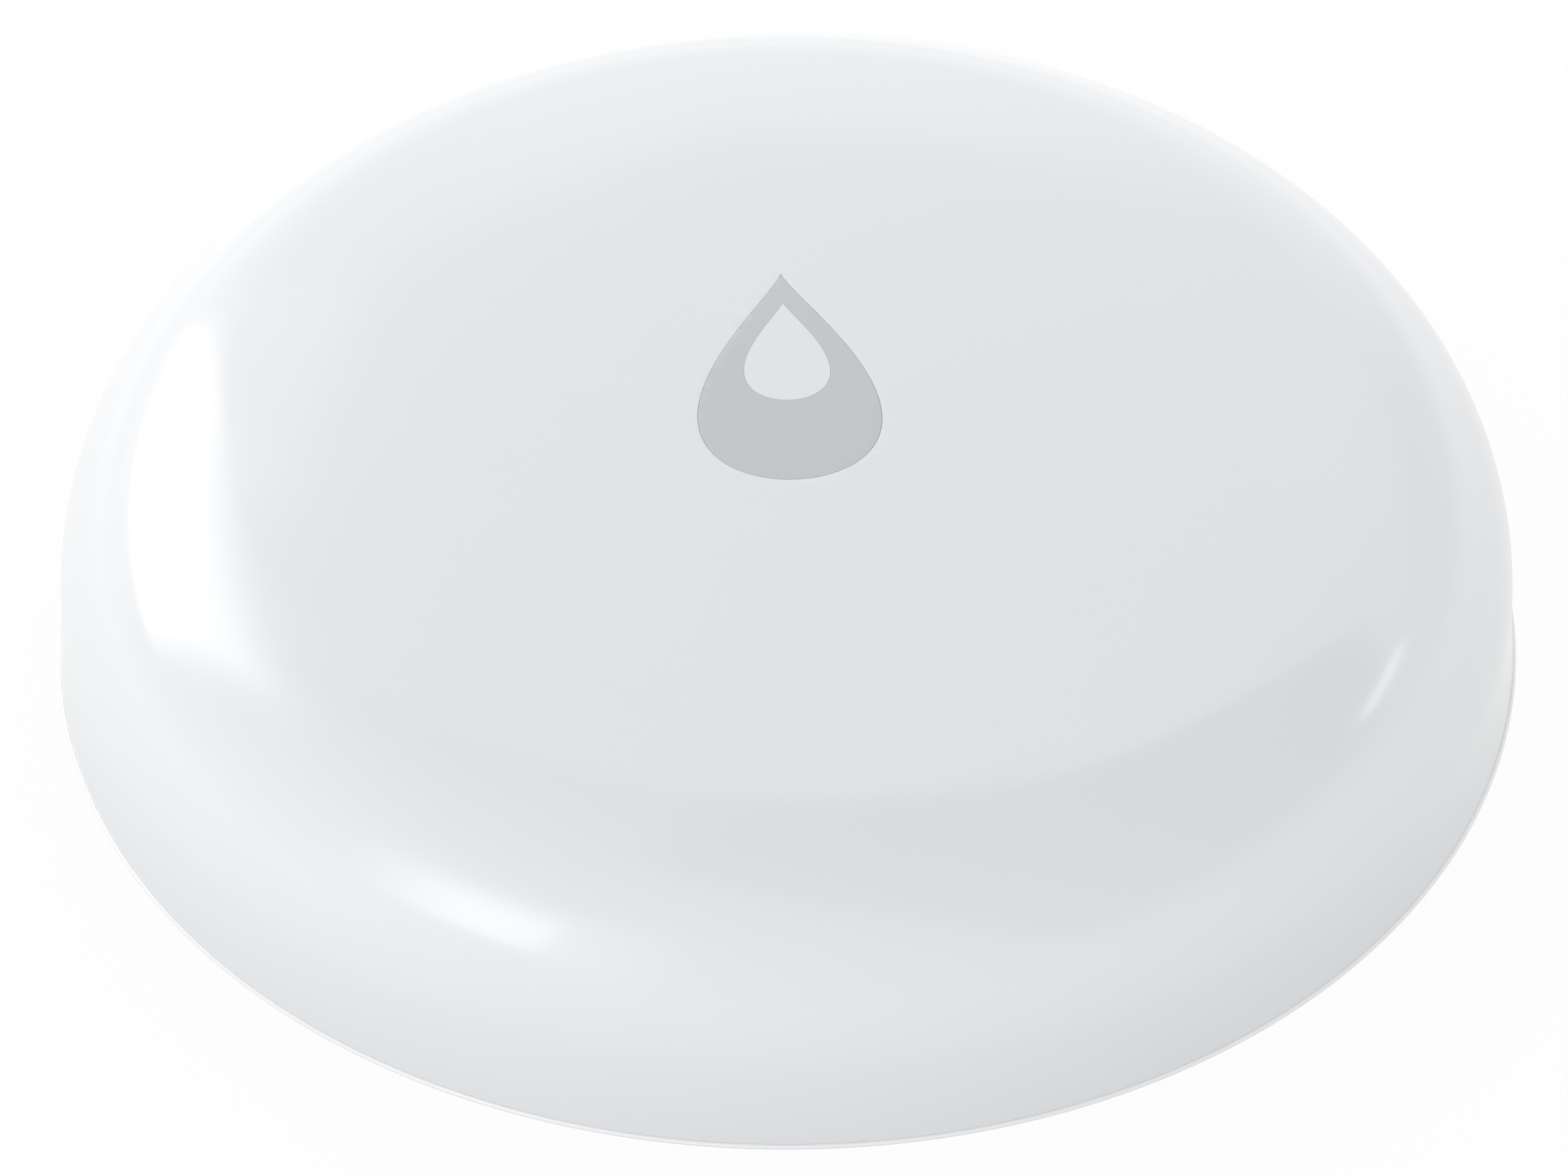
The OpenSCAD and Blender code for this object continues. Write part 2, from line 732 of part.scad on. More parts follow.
module threaded_inserts() {
    waist = 0.3;
    color("goldenrod") on_both_probes() translate([0, 0, board_top]) rotate_extrude() difference() {
        translate([probe_d / 2 + fit_gap, 0]) square([(insert_d - probe_d) / 2 - fit_gap, insert_l]);
        translate([insert_d / 2 - waist, insert_l / 2 - waist]) square([over, 2 * waist]);
    }
}

upper_shell();
base_housing();
case_seal();
drop_key();
drop_inset();
key_membrane();
membrane_ring();
switch_body();
switch_cover();
switch_stem();
switch_terminals();
circuit_board();
radio_chip();
crystal();
indicator_light();
passive_parts();
antenna();
cell_can();
cell_gasket();
cell_cap();
cell_core();
battery_cradle();
positive_contacts();
negative_contact();
battery_door();
door_seal();
probe_screws();
probe_seals();
probe_spacers();
threaded_inserts();
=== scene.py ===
"""Looks of a round water leak sensor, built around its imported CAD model.

Sizes are in millimetres, in the CAD's own frame. Each finished mesh is scaled to metres.
"""

import logging
import math
from dataclasses import dataclass
from enum import Enum
from typing import Any

import bmesh
import bpy
from bmesh.types import BMEdge, BMesh, BMVert
from mathutils import Matrix, Vector


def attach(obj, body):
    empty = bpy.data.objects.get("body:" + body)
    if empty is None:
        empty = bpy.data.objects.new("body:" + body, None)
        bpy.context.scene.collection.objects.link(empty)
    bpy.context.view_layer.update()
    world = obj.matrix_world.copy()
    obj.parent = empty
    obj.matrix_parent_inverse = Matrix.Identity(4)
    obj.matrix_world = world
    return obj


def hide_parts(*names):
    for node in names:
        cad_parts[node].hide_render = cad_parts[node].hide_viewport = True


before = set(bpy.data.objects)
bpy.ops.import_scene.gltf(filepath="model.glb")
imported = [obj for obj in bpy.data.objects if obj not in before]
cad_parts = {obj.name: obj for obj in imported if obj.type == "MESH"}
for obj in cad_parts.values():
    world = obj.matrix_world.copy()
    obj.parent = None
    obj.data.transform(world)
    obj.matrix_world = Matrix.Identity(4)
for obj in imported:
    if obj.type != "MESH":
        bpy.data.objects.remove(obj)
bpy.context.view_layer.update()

LOG = logging.getLogger("leak_sensor")
MM = 0.001
TURN = 2 * math.pi
WELD = 0.0005
SMOOTH_BELOW = math.radians(40)
# Distance of each probe from the Z axis
PROBE_X = 17.875
# How far a cutter runs past the face that it opens
PAST = 1.0
# Edges round a boss or a cylinder
ROUND_STEPS = 48
# Streaks of rolled strip are drawn out along X
STREAK = (0.05, 1.0, 1.0)
# A wave texture runs through this angle in each unit
WAVE_RADIANS = 20.0
# How unevenly the threads of a cloth run
WEAVE_WOBBLE = 0.4


# Nodes and colours


def linear(code: str) -> tuple[float, float, float, float]:
    """Turns an sRGB colour into the linear one that shaders take.

    Args:
        code: The colour as a hash sign and six hex digits.

    Returns:
        Red, green, blue and a full alpha.
    """
    shares = [int(code[i : i + 2], 16) / 255 for i in (1, 3, 5)]
    red, green, blue = [c / 12.92 if c <= 0.04045 else ((c + 0.055) / 1.055) ** 2.4 for c in shares]
    return red, green, blue, 1.0


def add_node(
    tree: bpy.types.NodeTree, kind: str, inputs: dict[Any, Any], **settings: Any
) -> bpy.types.Node:
    """Adds one node to a tree, with its settings and links.

    Args:
        tree: The material's or the world's tree.
        kind: Blender's name for the kind of node.
        inputs: For each input, by name or number, a value or the output that feeds it.
        settings: Properties of the node itself.

    Returns:
        The new node.
    """
    node = tree.nodes.new(kind)
    for name, value in settings.items():
        setattr(node, name, value)
    for name, value in inputs.items():
        if isinstance(value, bpy.types.NodeSocket):
            tree.links.new(value, node.inputs[name])
        else:
            node.inputs[name].default_value = value
    return node


# Finishes


class Making(Enum):
    """How a surface was made, which decides the pattern that the eye finds on it."""

    MOULDED = "an even grain, the print of the mould"
    TURNED = "rings about an upright axis, left by the tool"
    ROLLED = "streaks along the strip"
    WOVEN = "glass cloth under the lacquer"


@dataclass(frozen=True)
class Finish:
    """One material with its colour, gloss and pattern.

    The grain is the fine pattern, which also lifts the surface. The cloud is a slow drift of colour and,
    twice as strong, of gloss.
    """

    name: str
    colour: str
    roughness: float
    making: Making = Making.MOULDED
    metallic: float = 0.0
    ior: float = 1.5
    grain_mm: float = 0.6
    lift_mm: float = 0.0004
    cloud_mm: float = 9.0
    drift: float = 0.02
    axis_x_mm: float = 0.0
    subsurface: float = 0.0

    def material(self) -> bpy.types.Material:
        """Gives the finish as a node material, made once."""
        known = bpy.data.materials.get(self.name)
        if known is not None:
            return known
        made = bpy.data.materials.new(self.name)
        made.use_nodes = True
        tree = made.node_tree
        tree.nodes.clear()
        spot = add_node(tree, "ShaderNodeTexCoord", {}).outputs["Object"]
        grain = self.grain(tree, spot)
        cloud = add_node(
            tree, "ShaderNodeTexNoise", {"Vector": spot, "Scale": 1 / (self.cloud_mm * MM), "Detail": 3.0}
        ).outputs[0]
        both = add_node(tree, "ShaderNodeMath", {0: cloud, 1: grain}, operation="MULTIPLY").outputs[0]
        full = linear(self.colour)
        faded = tuple(c * (1 - self.drift) for c in full[:3]) + (1.0,)
        colour = add_node(tree, "ShaderNodeMix", {0: both, 6: full, 7: faded}, data_type="RGBA").outputs[2]
        least, most = [self.roughness * (1 + sign * 2 * self.drift) for sign in (-1, 1)]
        gloss = add_node(tree, "ShaderNodeMapRange", {"Value": cloud, 3: least, 4: most}).outputs[0]
        lift = add_node(tree, "ShaderNodeBump", {"Height": grain, "Distance": self.lift_mm * MM}).outputs[0]
        inputs = {"Base Color": colour, "Roughness": gloss, "Normal": lift, "Metallic": self.metallic}
        if self.metallic == 0:
            inputs["IOR"] = self.ior
        if self.subsurface > 0:
            inputs["Subsurface Weight"] = self.subsurface
            inputs["Subsurface Radius"] = (MM, MM, MM)
        shader = add_node(tree, "ShaderNodeBsdfPrincipled", inputs).outputs[0]
        add_node(tree, "ShaderNodeOutputMaterial", {"Surface": shader})
        return made

    def grain(self, tree: bpy.types.NodeTree, spot: bpy.types.NodeSocket) -> bpy.types.NodeSocket:
        """Adds the nodes of the fine pattern.

        Args:
            tree: The material's tree.
            spot: The Object coordinates.

        Returns:
            The pattern's value, from 0 to 1.
        """
        scale = 1 / (self.grain_mm * MM)
        if self.making is Making.TURNED:
            apart = add_node(tree, "ShaderNodeSeparateXYZ", {0: spot}).outputs
            side = add_node(tree, "ShaderNodeMath", {0: apart[0]}, operation="ABSOLUTE").outputs[0]
            across = add_node(
                tree, "ShaderNodeMath", {0: side, 1: self.axis_x_mm * MM}, operation="SUBTRACT"
            ).outputs[0]
            flat = add_node(tree, "ShaderNodeCombineXYZ", {0: across, 1: apart[1]}).outputs[0]
            radius = add_node(tree, "ShaderNodeVectorMath", {0: flat}, operation="LENGTH").outputs["Value"]
            return add_node(
                tree, "ShaderNodeTexNoise", {"W": radius, "Scale": scale}, noise_dimensions="1D"
            ).outputs[0]
        if self.making is Making.ROLLED:
            drawn = add_node(tree, "ShaderNodeMapping", {"Vector": spot, "Scale": STREAK}).outputs[0]
            return add_node(tree, "ShaderNodeTexNoise", {"Vector": drawn, "Scale": scale}).outputs[0]
        if self.making is Making.WOVEN:
            warp, weft = [
                add_node(
                    tree,
                    "ShaderNodeTexWave",
                    {"Vector": spot, "Scale": scale / WAVE_RADIANS, "Distortion": WEAVE_WOBBLE},
                    bands_direction=direction,
                ).outputs[1]
                for direction in "XY"
            ]
            return add_node(tree, "ShaderNodeMath", {0: warp, 1: weft}, operation="MULTIPLY").outputs[0]
        return add_node(
            tree, "ShaderNodeTexNoise", {"Vector": spot, "Scale": scale, "Detail": 1.0}
        ).outputs[0]


# White ABS from a polished mould: a clear gloss with a cool cast, and the faintest waviness in reflections
GLOSS_ABS = Finish("gloss_white_abs", "#DCDDDF", 0.14, ior=1.53, grain_mm=2.5, lift_mm=0.0003, drift=0.012)
# The same plastic tinted grey, moulded as the key
GREY_ABS = Finish("gloss_grey_abs", "#BBBDBF", 0.14, ior=1.53, grain_mm=2.5, lift_mm=0.0003, drift=0.012)
# White ABS from a spark-eroded mould: a soft sheen over a fine grain, drawn coarser than the real 0.05 mm
# Its white is lighter than the shell's: partly the base's own colour, partly painted light on the lip, in
# place of the floor's light that the lip catches
SATIN_ABS = Finish("satin_white_abs", "#EAEBED", 0.28, ior=1.53, grain_mm=0.16, lift_mm=0.003, drift=0.02)
# Silicone: a milky skin that lets some light in
SILICONE = Finish("milky_silicone", "#CDD0D2", 0.55, ior=1.41, grain_mm=0.4, lift_mm=0.002, subsurface=0.4)
# EPDM rubber: near black, with a dry bloom
RUBBER = Finish(
    "epdm_rubber", "#262626", 0.7, ior=1.47, grain_mm=0.2, lift_mm=0.004, cloud_mm=3.0, drift=0.25
)
# Natural nylon: ivory and dull
NYLON = Finish("natural_nylon", "#DDD9CC", 0.5, ior=1.53, grain_mm=0.3, lift_mm=0.003, drift=0.05)
# Glass-filled black nylon and chip epoxy: dull, with a pale speck of filler
BLACK_PLASTIC = Finish("filled_black_plastic", "#1E1E1F", 0.6, grain_mm=0.1, lift_mm=0.004, drift=0.3)
# Nickel-plated steel strip: bright, with streaks of the rolling
NICKEL_STEEL = Finish(
    "nickel_plated_steel", "#C9C8C4", 0.28, Making.ROLLED, 1.0, grain_mm=0.12, lift_mm=0.0008, drift=0.1
)
# Turned stainless steel: bright rings round each screw's axis
STAINLESS = Finish(
    "turned_stainless_steel", "#D3D2CE", 0.18, Making.TURNED, 1.0,
    grain_mm=0.08, lift_mm=0.0015, drift=0.08, axis_x_mm=PROBE_X,
)
# Stainless steel of the cell, spun and faintly ringed
CELL_STEEL = Finish(
    "spun_cell_steel", "#CFCECB", 0.25, Making.TURNED, 1.0, grain_mm=0.15, lift_mm=0.001, drift=0.08
)
# Glass epoxy under green lacquer: the cloth shows as a faint weave
LAMINATE = Finish(
    "lacquered_glass_epoxy", "#1F6B3C", 0.3, Making.WOVEN, grain_mm=0.5, lift_mm=0.004, drift=0.25
)
# Fired ceramic: sandy and dull
CERAMIC = Finish("fired_ceramic", "#B4946A", 0.55, grain_mm=0.1, lift_mm=0.003, cloud_mm=1.0, drift=0.15)
# Gilded copper track: warm and bright
GILT_COPPER = Finish(
    "gilt_copper", "#D9A64E", 0.3, Making.ROLLED, 1.0, grain_mm=0.08, lift_mm=0.001, drift=0.12
)
# Pressed lithium and manganese dioxide: dark and crumbly
CELL_MIX = Finish("pressed_cell_mix", "#3A3A3C", 0.75, grain_mm=0.15, lift_mm=0.02, cloud_mm=2.0, drift=0.3)
# Phosphor bronze strip: golden, with streaks of the rolling
BRONZE = Finish(
    "phosphor_bronze", "#CBA35C", 0.3, Making.ROLLED, 1.0, grain_mm=0.1, lift_mm=0.001, drift=0.12
)


# Mesh work


class Join(Enum):
    """What is done with two closed meshes."""

    CUT = "DIFFERENCE"
    ADD = "UNION"
    SHARE = "INTERSECT"


class Pen:
    """Draws a half section in the XZ plane with a moving vertex, and spins it about the Z axis."""

    def __init__(self, radius: float, height: float) -> None:
        """Sets the pen down at a point."""
        self.mesh = bmesh.new()
        self.first = self.mesh.verts.new((radius, 0, height))
        self.tip = self.first

    def line(self, *points: tuple[float, float]) -> "Pen":
        """Draws straight lines through points of radius and height."""
        for radius, height in points:
            self.tip = bmesh.ops.extrude_vert_indiv(self.mesh, verts=[self.tip])["verts"][0]
            self.tip.co = (radius, 0, height)
        return self

    def arc(self, centre: tuple[float, float], turn: float, steps: int) -> "Pen":
        """Turns the tip about a centre.

        Args:
            centre: Radius and height of the centre.
            turn: The angle, which is positive from upwards to outwards.
            steps: The number of edges.

        Returns:
            This pen.
        """
        middle = (centre[0], 0, centre[1])
        drawn = bmesh.ops.spin(
            self.mesh, geom=[self.tip], cent=middle, axis=(0, 1, 0), angle=turn, steps=steps
        )
        self.tip = next(item for item in drawn["geom_last"] if isinstance(item, BMVert))
        return self

    def close(self) -> "Pen":
        """Joins the end of the line to its start."""
        self.mesh.edges.new((self.tip, self.first))
        return self

    def lathe(self, steps: int) -> BMesh:
        """Spins the section through a full turn."""
        bmesh.ops.spin(
            self.mesh,
            geom=self.mesh.verts[:] + self.mesh.edges[:],
            cent=(0, 0, 0),
            axis=(0, 0, 1),
            angle=TURN,
            steps=steps,
            use_merge=True,
        )
        return tidy(self.mesh)

    def sweep(self, angle: float, steps: int) -> BMesh:
        """Spins the filled section through part of a turn, centred on the X axis."""
        mesh = self.mesh
        bmesh.ops.contextual_create(mesh, geom=mesh.edges[:])
        bmesh.ops.rotate(mesh, verts=mesh.verts, cent=(0, 0, 0), matrix=Matrix.Rotation(-angle / 2, 3, "Z"))
        section = mesh.verts[:] + mesh.edges[:] + mesh.faces[:]
        bmesh.ops.spin(mesh, geom=section, cent=(0, 0, 0), axis=(0, 0, 1), angle=angle, steps=steps)
        return tidy(mesh)


def tidy(mesh: BMesh) -> BMesh:
    """Merges doubles and turns the faces outwards."""
    bmesh.ops.remove_doubles(mesh, verts=mesh.verts, dist=WELD)
    bmesh.ops.recalc_face_normals(mesh, faces=mesh.faces)
    return mesh


def round_edges(mesh: BMesh, edges: list[BMEdge], width: float, segments: int) -> None:
    """Rounds edges of a mesh.

    Args:
        mesh: The mesh.
        edges: Its edges to round.
        width: How far each rounding reaches along the faces.
        segments: The number of faces across a rounding.
    """
    bmesh.ops.bevel(
        mesh, geom=edges, offset=width, affect="EDGES", segments=segments, profile=0.5, material=-1
    )


def soften(mesh: BMesh, corners: list[tuple[float, float]], width: float, segments: int = 3) -> None:
    """Rounds the edges that run round the Z axis at some corners of a section.

    Args:
        mesh: A lathed mesh.
        corners: Radius and height of each corner.
        width: How far each rounding reaches along the faces.
        segments: The number of faces across a rounding.
    """

    def at_corner(vert: BMVert, corner: tuple[float, float]) -> bool:
        """Tells whether a vertex lies on a corner's ring."""
        radius, height = corner
        return abs(math.hypot(vert.co.x, vert.co.y) - radius) < WELD and abs(vert.co.z - height) < WELD

    edges = [
        edge
        for edge in mesh.edges
        for corner in corners
        if all(at_corner(vert, corner) for vert in edge.verts)
    ]
    round_edges(mesh, edges, width, segments)


def around(count: int, start: float = 0.0) -> list[Matrix]:
    """Spreads turns evenly about the Z axis.

    Args:
        count: The number of turns.
        start: The first of them, as a share of the step between two.

    Returns:
        One rotation for each turn.
    """
    return [Matrix.Rotation(TURN * (i + start) / count, 4, "Z") for i in range(count)]


def place(mesh: BMesh, *copies: Matrix) -> BMesh:
    """Sets copies of a mesh in place.

    Args:
        mesh: The mesh to copy, which is freed.
        copies: One matrix for each copy.

    Returns:
        All the copies as one mesh.
    """
    made = bmesh.new()
    data = bpy.data.meshes.new("copy")
    mesh.to_mesh(data)
    mesh.free()
    for matrix in copies:
        before = len(made.verts)
        made.from_mesh(data)
        made.verts.ensure_lookup_table()
        bmesh.ops.transform(made, matrix=matrix, verts=made.verts[before:])
    bpy.data.meshes.remove(data)
    return made


def join(body: BMesh, tool: BMesh, how: Join) -> BMesh:
    """Cuts one closed mesh out of another, adds it, or keeps what both share.

    Args:
        body: The mesh that is worked on, which is freed.
        tool: The other mesh, which is freed.
        how: What is done with them.

    Returns:
        The result.
    """
    blanks = []
    for mesh in (body, tool):
        data = bpy.data.meshes.new("blank")
        tidy(mesh).to_mesh(data)
        mesh.free()
        blank = bpy.data.objects.new("blank", data)
        bpy.context.scene.collection.objects.link(blank)
        blanks.append(blank)
    step = blanks[0].modifiers.new("join", "BOOLEAN")
    step.object = blanks[1]
    step.operation = how.value
    step.solver = "EXACT"
    result = bmesh.new()
    result.from_object(blanks[0], bpy.context.evaluated_depsgraph_get())
    for blank in blanks:
        bpy.data.meshes.remove(blank.data)
    return tidy(result)


def cylinder(radius: float, low: float, high: float) -> BMesh:
    """Makes a closed upright cylinder on the Z axis."""
    return Pen(0, low).line((radius, low), (radius, high), (0, high)).lathe(ROUND_STEPS)


def loop_edges(verts: list[BMVert]) -> list[BMEdge]:
    """Lists the edges that join the vertices of a loop to each other."""
    members = set(verts)
    found = {edge for vert in verts for edge in vert.link_edges if edge.other_vert(vert) in members}
    return list(found)


def add_piece(name: str, mesh: BMesh, finish: Finish, body: str, nodes: list[str]) -> None:
    """Turns a mesh into a piece of the sensor.

    Args:
        name: The piece's name.
        mesh: Its mesh in millimetres, which is freed.
        finish: What it is made of.
        body: The CAD body that it rides on.
        nodes: The CAD nodes that it stands for.
    """
    tidy(mesh)
    bmesh.ops.scale(mesh, vec=(MM, MM, MM), verts=mesh.verts)
    data = bpy.data.meshes.new(name)
    mesh.to_mesh(data)
    mesh.free()
    data.shade_smooth()
    data.set_sharp_from_angle(angle=SMOOTH_BELOW)
    data.materials.append(finish.material())
    piece = bpy.data.objects.new(name, data)
    bpy.context.scene.collection.objects.link(piece)
    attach(piece, body)
    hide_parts(*nodes)
    LOG.info("%s: %d faces, stands for %s", name, len(data.polygons), ", ".join(nodes))


# The case


@dataclass(frozen=True)
class CaseForm:
    """Sizes that more than one piece shares."""

    height: float = 15.0
    crown_r: float = 93.7
    shoulder_r: float = 7.5
    side_r: float = 24.75
    rim_r: float = 25.0
    wall: float = 1.6
    lip_low: float = 2.65
    lip_top: float = 2.85
    seam: float = 0.003
    under_z: float = 0.8
    bore_r: float = 13.0
    probe_seat: float = 1.5
    switch_y: float = -1.4
    thread_lead: float = 14.0
    steps: int = 192
    thread_steps: int = 24
    crown_step: float = 0.5

    @property
    def crown_z(self) -> float:
        """Height of the crown's centre."""
        return self.height - self.crown_r

    @property
    def shoulder_c(self) -> float:
        """Radius of the shoulder's centre."""
        return self.side_r - self.shoulder_r

    @property
    def shoulder_z(self) -> float:
        """Height of the shoulder's centre."""
        return self.crown_z + math.sqrt((self.crown_r - self.shoulder_r) ** 2 - self.shoulder_c**2)

    @property
    def shoulder_turn(self) -> float:
        """How far the surface leans where the crown runs into the shoulder."""
        return math.atan2(self.shoulder_c, self.shoulder_z - self.crown_z)

    @property
    def probe_places(self) -> list[Matrix]:
        """Where the two probes stand."""
        return [Matrix.Translation((side * PROBE_X, 0, 0)) for side in (-1, 1)]

    def crown_at(self, x: float, y: float, inset: float = 0.0) -> float:
        """Height of the crown over a point, moved inwards by an inset."""
        return self.crown_z + math.sqrt((self.crown_r - inset) ** 2 - x * x - y * y)

    def crown_plug(self, radius: float, low: float) -> BMesh:
        """Makes a round plug under the crown.

        Args:
            radius: Its radius.
            low: Height of its flat end.

        Returns:
            A closed mesh whose top is part of the crown.
        """
        pen = Pen(0, low).line((radius, low), (radius, self.crown_at(radius, 0)))
        pen.arc((0, self.crown_z), -math.asin(radius / self.crown_r), round(radius / self.crown_step))
        return pen.lathe(self.steps)

    def round_rim(self, mesh: BMesh, width: float) -> None:
        """Rounds the sharp edges of a mesh that lie in the crown."""
        edges = [
            edge
            for edge in mesh.edges
            if edge.calc_face_angle(0.0) > SMOOTH_BELOW
            and all(abs(vert.co.z - self.crown_at(vert.co.x, vert.co.y)) < WELD for vert in edge.verts)
        ]
        round_edges(mesh, edges, width, segments=2)

    def thread_bar(self, inner: float, outer: float, angle: float, low: float, height: float) -> BMesh:
        """Makes a stretch of thread whose ends lean along the thread's rise.

        Args:
            inner: Inner radius.
            outer: Outer radius.
            angle: Its length as an angle, halfway up.
            low: Height of its underside.
            height: Its thickness.

        Returns:
            A closed mesh, centred on the X axis.
        """
        pen = Pen(inner, low).line((outer, low), (outer, low + height), (inner, low + height)).close()
        bar = pen.sweep(angle, self.thread_steps)
        for vert in bar.verts:
            rise = vert.co.z - low - height / 2
            vert.co.rotate(Matrix.Rotation(TURN * rise / self.thread_lead, 3, "Z"))
        return bar


@dataclass(frozen=True)
class DropShape:
    """A pointed drop, seen from above: its size and the place of its middle.

    A higher power makes its point slimmer.
    """

    width: float
    height: float
    middle_y: float
    power: float = 1.42
    steps: int = 128

    def prism(self, grow: float, low: float, top: float) -> BMesh:
        """Makes an upright prism on the outline.

        Args:
            grow: How far the outline moves outwards.
            low: Height of the lower end.
            top: Height of the upper end.

        Returns:
            A closed mesh.
        """
        mesh = bmesh.new()
        verts = bmesh.ops.create_circle(mesh, cap_ends=True, radius=1.0, segments=self.steps)["verts"]
        power = self.power
        fullness = self.width * math.sqrt(power + 2) / 4 * ((power + 2) / (power + 1)) ** ((power + 1) / 2)
        half = self.height / 2
        for i, vert in enumerate(verts):
            t = TURN * i / self.steps
            sine = math.sin(t / 2)
            x = fullness * math.sin(t) * sine**power
            y = half * math.cos(t)
            bend = power / 2 * math.sin(t) * math.cos(t / 2) * sine ** (power - 1)
            slope_x = fullness * (math.cos(t) * sine**power + bend)
            slope_y = -half * math.sin(t)
            length = math.hypot(slope_x, slope_y)
            if i == 0:
                y += grow / math.sin(math.atan(fullness / half))
            else:
                x -= grow * slope_y / length
                y += grow * slope_x / length
            vert.co = (x, self.middle_y + y, low)
        raised = bmesh.ops.extrude_face_region(mesh, geom=mesh.faces[:])["geom"]
        tops = [item for item in raised if isinstance(item, BMVert)]
        bmesh.ops.translate(mesh, verts=tops, vec=(0, 0, top - low))
        return tidy(mesh)


@dataclass
class UpperCase:
    """The domed upper shell with the opening for the key."""

    form: CaseForm
    drop: DropShape
    gap: float = 0.012
    draft: float = 0.16
    outer_edge: float = 0.02
    inner_edge: float = 0.15
    rim: float = 0.008
    boss_r: float = 3.0
    boss_low: float = 9.23
    insert_r: float = 1.92
    collar: tuple[float, float] = (7.3, 8.3)
    collar_low: float = 12.0
    collar_steps: int = 96
    shoulder_steps: int = 48
    flare_steps: int = 12
    edge_steps: int = 4
    inner_steps: tuple[int, int] = (16, 24)

    def make(self) -> None:
        """Builds and dresses the shell."""
        form = self.form
        shell = join(self.section().lathe(form.steps), self.inner_parts(), Join.ADD)
        opening = self.drop.prism(self.gap, self.collar_low, form.height + form.wall)
        shell = join(shell, opening, Join.CUT)
        form.round_rim(shell, self.rim)
        add_piece("upper_case", shell, GLOSS_ABS, "case", ["upper_shell"])

    def section(self) -> Pen:
        """Draws the section from the top over the shoulder, down the flared wall and back inside."""
        form = self.form
        inner_r = form.side_r - form.wall
        low = form.lip_top + form.seam
        lean = form.shoulder_turn
        shoulder = (form.shoulder_c, form.shoulder_z)
        crown_steps = round(form.crown_r * lean / form.crown_step)
        pen = Pen(0, form.height).arc((0, form.crown_z), lean, crown_steps)
        pen.arc(shoulder, TURN / 4 - lean, self.shoulder_steps)
        edge_r = form.side_r + self.draft
        flare_h = form.shoulder_z - low - self.outer_edge
        flare_r = (flare_h**2 + self.draft**2) / (2 * self.draft)
        flare_turn = math.asin(flare_h / flare_r)
        pen.arc((form.side_r + flare_r, form.shoulder_z), -flare_turn, self.flare_steps)
        pen.arc((edge_r - self.outer_edge, low + self.outer_edge), TURN / 4, self.edge_steps)
        pen.line((inner_r + self.inner_edge, low))
        pen.arc((inner_r + self.inner_edge, low + self.inner_edge), TURN / 4, self.edge_steps)
        pen.line((inner_r, form.shoulder_z))
        shoulder_steps, crown_steps = self.inner_steps
        pen.arc(shoulder, lean - TURN / 4, shoulder_steps)
        return pen.arc((0, form.crown_z), -lean, crown_steps)

    def inner_parts(self) -> BMesh:
        """Makes the bosses for the inserts and the collar round the key, which run up into the wall."""
        form = self.form
        top = form.crown_at(PROBE_X + self.boss_r, 0, form.wall / 2) - form.wall
        boss = Pen(self.insert_r, self.boss_low)
        boss.line((self.boss_r, self.boss_low), (self.boss_r, top), (self.insert_r, top)).close()
        bosses = place(boss.lathe(ROUND_STEPS), *form.probe_places)
        inner, outer = self.collar
        collar_top = form.crown_at(0, outer - form.switch_y, form.wall / 2)
        ring = Pen(inner, self.collar_low)
        ring.line((outer, self.collar_low), (outer, collar_top), (inner, collar_top)).close()
        collar = place(ring.lathe(self.collar_steps), Matrix.Translation((0, form.switch_y, 0)))
        return join(bosses, collar, Join.ADD)


@dataclass
class Key:
    """The grey drop-shaped key with its white inner drop."""

    form: CaseForm
    drop: DropShape
    inner_drop: DropShape
    fit: float = 0.006
    plug_r: float = 7.5
    inset_depth: float = 0.9
    flange_grow: float = 0.7
    flange_low: float = 12.5
    flange_top: float = 13.1
    stem_r: float = 1.5
    stem_low: float = 11.3
    stem_root: float = 0.375
    rim: float = 0.008

    def make(self) -> None:
        """Builds and dresses both pieces."""
        add_piece("press_key", self.key(), GREY_ABS, "key", ["drop_key"])
        inset = self.plug(self.inner_drop, self.form.height - self.inset_depth)
        add_piece("inner_drop", inset, GLOSS_ABS, "key", ["drop_inset"])

    def plug(self, shape: DropShape, low: float) -> BMesh:
        """Makes a drop-shaped plug from a height up to the crown."""
        top = self.form.height + self.form.wall
        prism = shape.prism(0.0, low - self.fit, top)
        return join(self.form.crown_plug(self.plug_r, low), prism, Join.SHARE)

    def key(self) -> BMesh:
        """Makes the key with the pocket for the inner drop, its flange and its stem."""
        form = self.form
        key = self.plug(self.drop, self.flange_low)
        form.round_rim(key, self.rim)
        top = form.height + form.wall
        key = join(key, self.inner_drop.prism(self.fit, form.height - self.inset_depth, top), Join.CUT)
        key = join(key, self.drop.prism(self.flange_grow, self.flange_low, self.flange_top), Join.ADD)
        stem = cylinder(self.stem_r, self.stem_low, self.flange_low + self.stem_root)
        return join(key, place(stem, Matrix.Translation((0, form.switch_y, 0))), Join.ADD)


